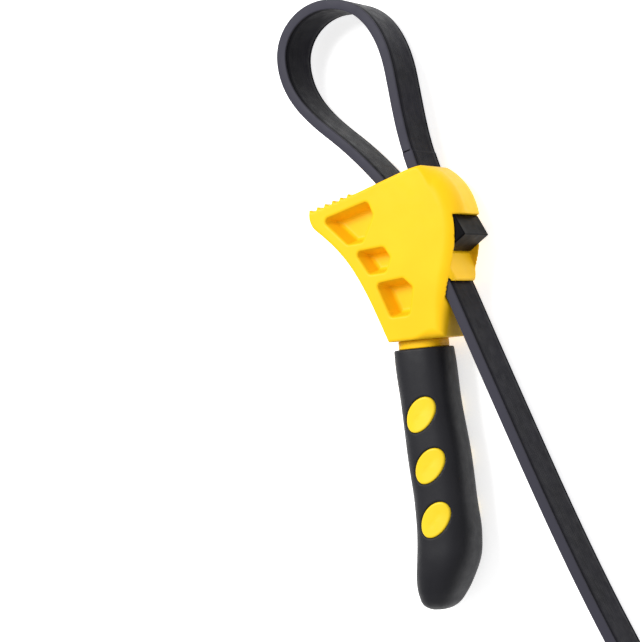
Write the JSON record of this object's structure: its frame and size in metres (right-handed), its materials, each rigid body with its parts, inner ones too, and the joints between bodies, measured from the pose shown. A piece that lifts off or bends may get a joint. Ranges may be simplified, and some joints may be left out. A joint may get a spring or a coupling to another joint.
{
  "type": "oil filter wrench",
  "caption": "Rubber-strap oil filter wrench: a toothed jaw on a soft-grip handle, with a strap that loops round the filter and pulls through the head.",
  "frame": {"origin": "on the head's lower resting face, on the handle's line, 6 mm above the neck", "axes": "+Z through the tool's thickness, away from the surface it lies on; +Y up the handle towards the head and the loop; +X towards the head's back, away from the jaw's teeth"},
  "size_m": [0.1733, 0.3676, 0.03],
  "materials": {
    "head_plastic": "semi-gloss moulded plastic",
    "inlay_plastic": "semi-gloss moulded plastic",
    "ring_plastic": "semi-gloss moulded plastic",
    "wedge_plastic": "satin",
    "grip_rubber": "matte fine-textured soft rubber",
    "strap_rubber": "satin extruded rubber"
  },
  "bodies": {
    "wrench_body": {"head_body": "head_plastic", "handle_core": "head_plastic", "grip_sleeve": "grip_rubber", "oval_inlay_1_top": "inlay_plastic", "oval_inlay_1_bottom": "inlay_plastic", "oval_inlay_2_top": "inlay_plastic", "oval_inlay_2_bottom": "inlay_plastic", "oval_inlay_3_top": "inlay_plastic", "oval_inlay_3_bottom": "inlay_plastic", "butt_ring": "ring_plastic", "anchor_wedge": "wedge_plastic", "strap_anchor_end": "strap_rubber"},
    "strap_loop_01": {"strap_loop_01": "strap_rubber"},
    "strap_loop_02": {"strap_loop_02": "strap_rubber"},
    "strap_loop_03": {"strap_loop_03": "strap_rubber"},
    "strap_loop_04": {"strap_loop_04": "strap_rubber"},
    "strap_loop_05": {"strap_loop_05": "strap_rubber"},
    "strap_loop_06": {"strap_loop_06": "strap_rubber"},
    "strap_channel": {"strap_channel_run": "strap_rubber"},
    "strap_tail_1": {"strap_tail_1": "strap_rubber"},
    "strap_tail_2": {"strap_tail_2": "strap_rubber"},
    "strap_tail_3": {"strap_tail_3": "strap_rubber"},
    "strap_tail_4": {"strap_tail_4": "strap_rubber"},
    "strap_tail_5": {"strap_tail_5": "strap_rubber"}
  },
  "joints": [
    {"name": "strap_pull", "type": "hinge", "parent": "wrench_body", "child": "strap_channel", "pos_m": [-0.16912, -0.05367, 0.015], "axis": [0, 0, -1], "range_deg": [-4.3, 6.3]},
    {"name": "loop_bend_01", "type": "hinge", "parent": "wrench_body", "child": "strap_loop_01", "pos_m": [0.003, 0.085, 0.015], "axis": [0, 0, 1], "range_deg": [-24.5, 16.79]},
    {"name": "loop_bend_02", "type": "hinge", "parent": "strap_loop_01", "child": "strap_loop_02", "pos_m": [-0.00427, 0.13294, 0.015], "axis": [0, 0, 1], "range_deg": [-21.44, 31.32]},
    {"name": "loop_bend_03", "type": "hinge", "parent": "strap_loop_02", "child": "strap_loop_03", "pos_m": [-0.03974, 0.15886, 0.015], "axis": [0, 0, 1], "range_deg": [-5.39, 7.81]},
    {"name": "loop_bend_04", "type": "hinge", "parent": "strap_loop_03", "child": "strap_loop_04", "pos_m": [-0.05777, 0.12153, 0.015], "axis": [0, 0, 1], "range_deg": [-30.52, 20.9]},
    {"name": "loop_bend_05", "type": "hinge", "parent": "strap_loop_04", "child": "strap_loop_05", "pos_m": [-0.04893, 0.10806, 0.015], "axis": [0, 0, 1], "range_deg": [-16.25, 11.15]},
    {"name": "loop_bend_06", "type": "hinge", "parent": "strap_loop_05", "child": "strap_loop_06", "pos_m": [-0.03735, 0.09678, 0.015], "axis": [0, 0, 1], "range_deg": [-17.7, 25.83]},
    {"name": "tail_bend_1", "type": "hinge", "parent": "strap_channel", "child": "strap_tail_1", "pos_m": [0.019, 0.01425, 0.015], "axis": [0, 0, 1], "range_deg": [-1, 20], "stiffness_Nm_per_rad": 0.014},
    {"name": "tail_bend_2", "type": "hinge", "parent": "strap_tail_1", "child": "strap_tail_2", "pos_m": [0.03518, -0.03025, 0.015], "axis": [0, 0, 1], "range_deg": [-8, 20], "stiffness_Nm_per_rad": 0.014},
    {"name": "tail_bend_3", "type": "hinge", "parent": "strap_tail_2", "child": "strap_tail_3", "pos_m": [0.05168, -0.07463, 0.015], "axis": [0, 0, 1], "range_deg": [-8, 20], "stiffness_Nm_per_rad": 0.014},
    {"name": "tail_bend_4", "type": "hinge", "parent": "strap_tail_3", "child": "strap_tail_4", "pos_m": [0.06904, -0.11868, 0.015], "axis": [0, 0, 1], "range_deg": [-8, 20], "stiffness_Nm_per_rad": 0.014},
    {"name": "tail_bend_5", "type": "hinge", "parent": "strap_tail_4", "child": "strap_tail_5", "pos_m": [0.08821, -0.16198, 0.015], "axis": [0, 0, 1], "range_deg": [-8, 20], "stiffness_Nm_per_rad": 0.014}
  ],
  "couplings": [
    {"joint": "loop_bend_01", "follows": "strap_pull", "ratio": -3.857},
    {"joint": "loop_bend_02", "follows": "strap_pull", "ratio": 4.94},
    {"joint": "loop_bend_03", "follows": "strap_pull", "ratio": 1.208},
    {"joint": "loop_bend_04", "follows": "strap_pull", "ratio": -4.813},
    {"joint": "loop_bend_05", "follows": "strap_pull", "ratio": -2.547},
    {"joint": "loop_bend_06", "follows": "strap_pull", "ratio": 4.069}
  ]
}
